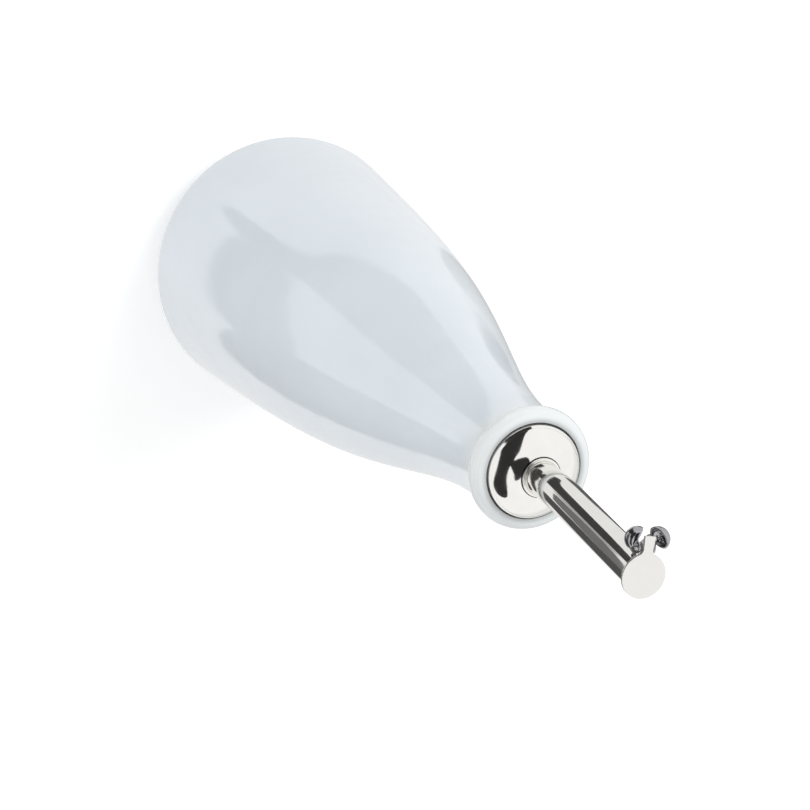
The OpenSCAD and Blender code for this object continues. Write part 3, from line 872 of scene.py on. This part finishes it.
# Stage
class CRUET_OT_stage(bpy.types.Operator):
    """Sets the floor, the soft light and the camera at the photograph's angle"""

    bl_idname = "cruet.stage"
    bl_label = "Stage"

    def execute(self, context):
        stage = context.scene.cruet_stage
        self.camera(context.scene)
        self.floor(stage)
        self.sky(context.scene, stage)
        self.lamp("key_light", stage.key, KEY_PLACE)
        self.lamp("fill_light", stage.fill, FILL_PLACE)
        for name, (tone, corners) in SKY_CARDS.items():
            self.card(name, tone, [self.far_point(azimuth, height) for azimuth, height in corners])
        for name, (tone, corners) in FLOOR_CARDS.items():
            rise = CARD_RISE if name == "floor_bright" else 2 * CARD_RISE
            flat = [Vector((far * MM, 0, rise)) for azimuth, far in corners]
            turns = [Matrix.Rotation(math.radians(azimuth), 3, "Z") for azimuth, far in corners]
            self.card(name, tone, [turn @ point for turn, point in zip(turns, flat)])
        context.scene.view_settings.view_transform = "Standard"
        return {"FINISHED"}

    def camera(self, scene):
        """The camera of the photograph: tilted from the bottle's axis and rolled."""
        tilt, roll, azimuth = (math.radians(v) for v in (CAMERA_TILT, CAMERA_ROLL, CAMERA_AZIMUTH))
        back = Vector((math.sin(tilt) * math.cos(azimuth),
                       math.sin(tilt) * math.sin(azimuth),
                       math.cos(tilt)))
        ahead = -back
        up_axis = (Vector((0, 0, 1)) - ahead * ahead.z).normalized()
        across = ahead.cross(up_axis)
        right = up_axis * math.cos(roll) - across * math.sin(roll)
        down = up_axis * math.sin(roll) + across * math.cos(roll)
        aimed = Vector(((AIM_PIXEL[0] - PICTURE_PX / 2) / CAMERA_FOCUS_PX,
                        (AIM_PIXEL[1] - PICTURE_PX / 2) / CAMERA_FOCUS_PX, 1)).normalized()
        nudge = Vector((0, 0, 1)).rotation_difference(aimed).to_matrix()
        rows = nudge @ Matrix((right, down, ahead))
        axes = Matrix((rows[0], -rows[1], -rows[2])).transposed()
        data = bpy.data.cameras.new("camera")
        data.sensor_width = SENSOR
        data.lens = CAMERA_FOCUS_PX / PICTURE_PX * SENSOR
        data.clip_start, data.clip_end = 0.05, 30
        camera = bpy.data.objects.new("camera", data)
        scene.collection.objects.link(camera)
        stand = Vector((0, 0, AIM_Z)) + back * CAMERA_FAR
        camera.matrix_world = Matrix.Translation(stand) @ axes.to_4x4()
        scene.camera = camera

    def floor(self, stage):
        """A wide pale floor that shows white in the picture and keeps the shadow."""
        deselect()
        bpy.ops.mesh.primitive_plane_add(size=FLOOR_SIZE)
        floor = bpy.context.object
        floor.name = floor.data.name = "floor"
        material, shader = new_material("floor_paper")
        shader.inputs["Base Color"].default_value = colour(stage.floor)
        shader.inputs["Roughness"].default_value = 0.9
        shader.inputs["Specular IOR Level"].default_value = 0.1
        path = add_node(material, "ShaderNodeLightPath")
        seen = add_node(material, "ShaderNodeMath", operation="MAXIMUM")
        wire(material, seen.inputs[0], path.outputs["Is Camera Ray"])
        wire(material, seen.inputs[1], path.outputs["Is Glossy Ray"])
        lift = add_node(material, "ShaderNodeMath", operation="MULTIPLY")
        wire(material, lift.inputs[0], seen.outputs["Value"])
        lift.inputs[1].default_value = FLOOR_GLOW
        shader.inputs["Emission Color"].default_value = (1, 1, 1, 1)
        wire(material, shader.inputs["Emission Strength"], lift.outputs["Value"])
        finish_with(floor, material)

    def far_point(self, azimuth, height):
        """A point of the studio seen from the cap in this direction."""
        a, e = math.radians(azimuth), math.radians(height)
        away = Vector((math.cos(e) * math.cos(a), math.cos(e) * math.sin(a), math.sin(e)))
        return CAP_LOW.z * Vector((0, 0, 1)) + CARD_FAR * away

    def card(self, name, tone, corners):
        """A studio card that only mirrors see; it neither lights the object nor shades it."""
        for _ in range(CARD_ROUNDS):
            corners = [a.lerp(b, share) for a, b in zip(corners, corners[1:] + corners[:1])
                       for share in CARD_CUTS]
        card = draw_line(name, [tuple(corner) for corner in corners])
        bpy.ops.mesh.edge_face_add()
        bpy.ops.object.mode_set(mode="OBJECT")
        material = bpy.data.materials.new(name)
        material.use_nodes = True
        material.node_tree.nodes.clear()
        output = add_node(material, "ShaderNodeOutputMaterial")
        glow = add_node(material, "ShaderNodeEmission", Strength=tone)
        wire(material, output.inputs["Surface"], glow.outputs["Emission"])
        finish_with(card, material)
        card.visible_camera = card.visible_diffuse = card.visible_shadow = False
        card.visible_transmission = False

    def sky(self, scene, stage):
        """Even light from all round, white where the camera or a mirror sees it."""
        world = bpy.data.worlds.new("studio")
        scene.world = world
        world.use_nodes = True
        nodes, links = world.node_tree.nodes, world.node_tree.links
        background = nodes["Background"]
        background.inputs["Color"].default_value = (1, 1, 1, 1)
        path = nodes.new("ShaderNodeLightPath")
        level = nodes.new("ShaderNodeMapRange")
        level.inputs["To Min"].default_value = stage.sky
        level.inputs["To Max"].default_value = 1.0
        seen = nodes.new("ShaderNodeMath")
        seen.operation = "MAXIMUM"
        links.new(path.outputs["Is Camera Ray"], seen.inputs[0])
        links.new(path.outputs["Is Glossy Ray"], seen.inputs[1])
        links.new(seen.outputs["Value"], level.inputs["Value"])
        links.new(level.outputs["Result"], background.inputs["Strength"])

    def lamp(self, name, power, where):
        """A square soft lamp that faces the bottle."""
        data = bpy.data.lights.new(name, "AREA")
        data.energy, data.shape, data.size = power, "SQUARE", LAMP_SIZE
        lamp = bpy.data.objects.new(name, data)
        bpy.context.scene.collection.objects.link(lamp)
        lamp.location = where
        toward = Vector(LAMP_AIM) - Vector(where)
        lamp.rotation_mode = "QUATERNION"
        lamp.rotation_quaternion = toward.to_track_quat("-Z", "Y")
        lamp.visible_glossy = False


# Panel and registration
STEPS = (CRUET_OT_stage, CRUET_OT_bottle, CRUET_OT_cap, CRUET_OT_stopper, CRUET_OT_spout,
         CRUET_OT_hinge, CRUET_OT_flap)


class CRUET_PT_panel(bpy.types.Panel):
    """Lists the cruet's steps and settings"""

    bl_label = "Cruet"
    bl_idname = "CRUET_PT_panel"
    bl_space_type = "VIEW_3D"
    bl_region_type = "UI"
    bl_category = "Cruet"

    def draw(self, context):
        for group in (context.scene.cruet, context.scene.cruet_stage):
            for name in type(group).__annotations__:
                self.layout.prop(group, name)
        for step in STEPS:
            self.layout.operator(step.bl_idname)


CLASSES = (CruetSettings, StageSettings, *STEPS, CRUET_PT_panel)


def register():
    """Registers the classes and hangs the settings on the scene."""
    for cls in CLASSES:
        bpy.utils.register_class(cls)
    bpy.types.Scene.cruet = bpy.props.PointerProperty(type=CruetSettings)
    bpy.types.Scene.cruet_stage = bpy.props.PointerProperty(type=StageSettings)


def unregister():
    """Takes the settings and classes away again."""
    del bpy.types.Scene.cruet_stage
    del bpy.types.Scene.cruet
    for cls in reversed(CLASSES):
        bpy.utils.unregister_class(cls)


def main():
    """Makes the whole cruet."""
    register()
    bpy.ops.cruet.stage()
    bpy.ops.cruet.bottle()
    bpy.ops.cruet.cap()
    bpy.ops.cruet.stopper()
    bpy.ops.cruet.spout()
    bpy.ops.cruet.hinge()
    bpy.ops.cruet.flap()
    deselect()


if __name__ == "__main__":
    main()
